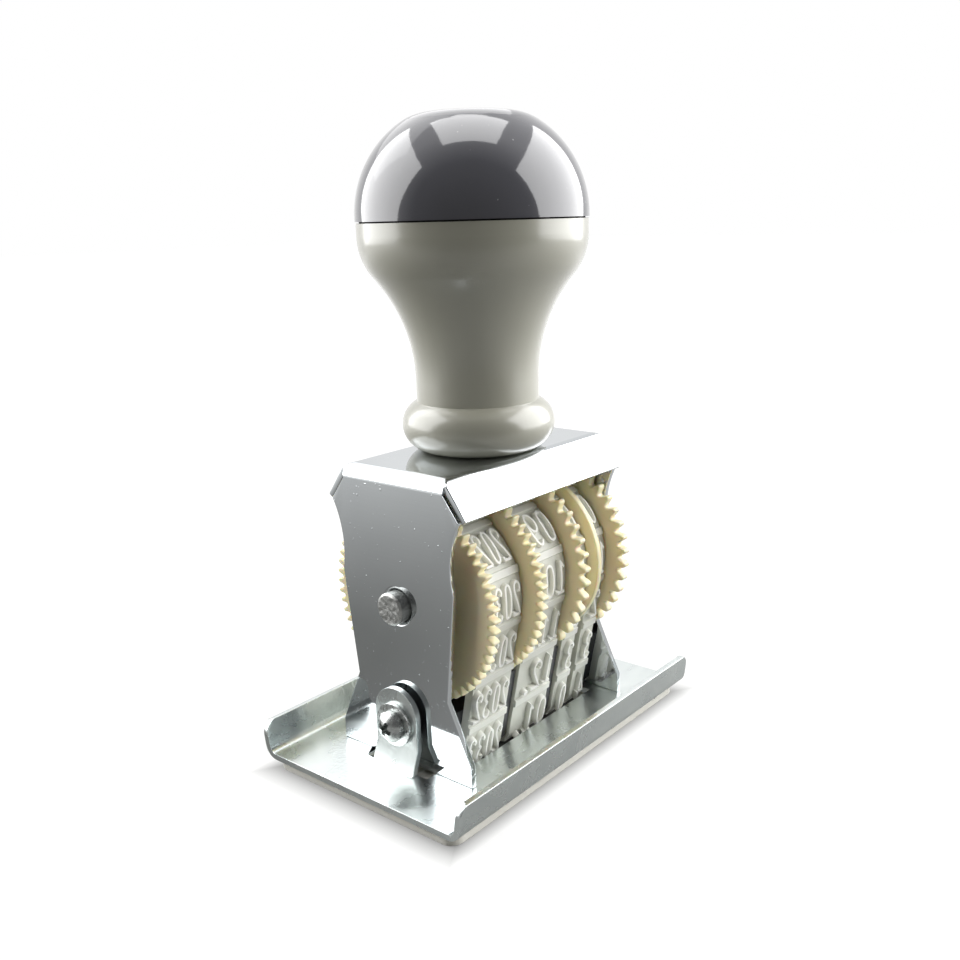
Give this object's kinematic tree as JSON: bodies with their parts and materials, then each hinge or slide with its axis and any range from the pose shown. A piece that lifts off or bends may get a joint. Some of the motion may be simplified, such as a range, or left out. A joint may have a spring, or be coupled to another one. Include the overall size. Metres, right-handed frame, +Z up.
{
  "type": "date stamp",
  "caption": "Hand-held date stamp: round grip with a dark dome, folded steel yoke, toothed wheels with printing bands on one axle, flanged base plate with a blank rubber die.",
  "frame": {"origin": "on the ground, the print face, below the centre of the grip", "axes": "+X along the wheel axle from the year wheel to the day wheels, -Y the reading side, +Z up through the grip"},
  "size_m": [0.0736, 0.05, 0.1169],
  "materials": {
    "die_rubber": "matt cream sheet",
    "zinc_steel": "bright zinc with soft mottling",
    "screw_steel": "bright zinc",
    "yoke_plate": "bright nickel plate on folded steel",
    "platen_plastic": "matt dark moulding",
    "axle_steel": "bright drawn pin with sheared ends",
    "wheel_plastic": "ivory moulding",
    "band_rubber": "grey white satin rubber",
    "grip_plastic": "glossy warm grey moulding",
    "cap_plastic": "glossy dark grey moulding",
    "insert_brass": "turned brass"
  },
  "bodies": {
    "stamp": {"die_sheet": "die_rubber", "base_plate": "zinc_steel", "base_screws": "screw_steel", "screw_washers": "screw_steel", "yoke": "yoke_plate", "platen": "platen_plastic", "wheel_axle": "axle_steel", "axle_spacer": "wheel_plastic", "separator_disc": "wheel_plastic", "year_band": "band_rubber", "month_band": "band_rubber", "day_tens_band": "band_rubber", "day_units_band": "band_rubber", "grip": "grip_plastic", "grip_cap": "cap_plastic", "grip_insert": "insert_brass", "grip_bolt": "screw_steel", "grip_washer": "screw_steel"},
    "year_setter": {"year_wheel": "wheel_plastic"},
    "month_setter": {"month_wheel": "wheel_plastic"},
    "day_tens_setter": {"day_tens_wheel": "wheel_plastic"},
    "day_units_setter": {"day_units_wheel": "wheel_plastic"}
  },
  "joints": [
    {"name": "year_turn", "type": "hinge", "parent": "stamp", "child": "year_setter", "pos_m": [0, 0, 0.0338], "axis": [1, 0, 0], "continuous": true},
    {"name": "month_turn", "type": "hinge", "parent": "stamp", "child": "month_setter", "pos_m": [0, 0, 0.0338], "axis": [1, 0, 0], "continuous": true},
    {"name": "day_tens_turn", "type": "hinge", "parent": "stamp", "child": "day_tens_setter", "pos_m": [0, 0, 0.0338], "axis": [1, 0, 0], "continuous": true},
    {"name": "day_units_turn", "type": "hinge", "parent": "stamp", "child": "day_units_setter", "pos_m": [0, 0, 0.0338], "axis": [1, 0, 0], "continuous": true}
  ]
}
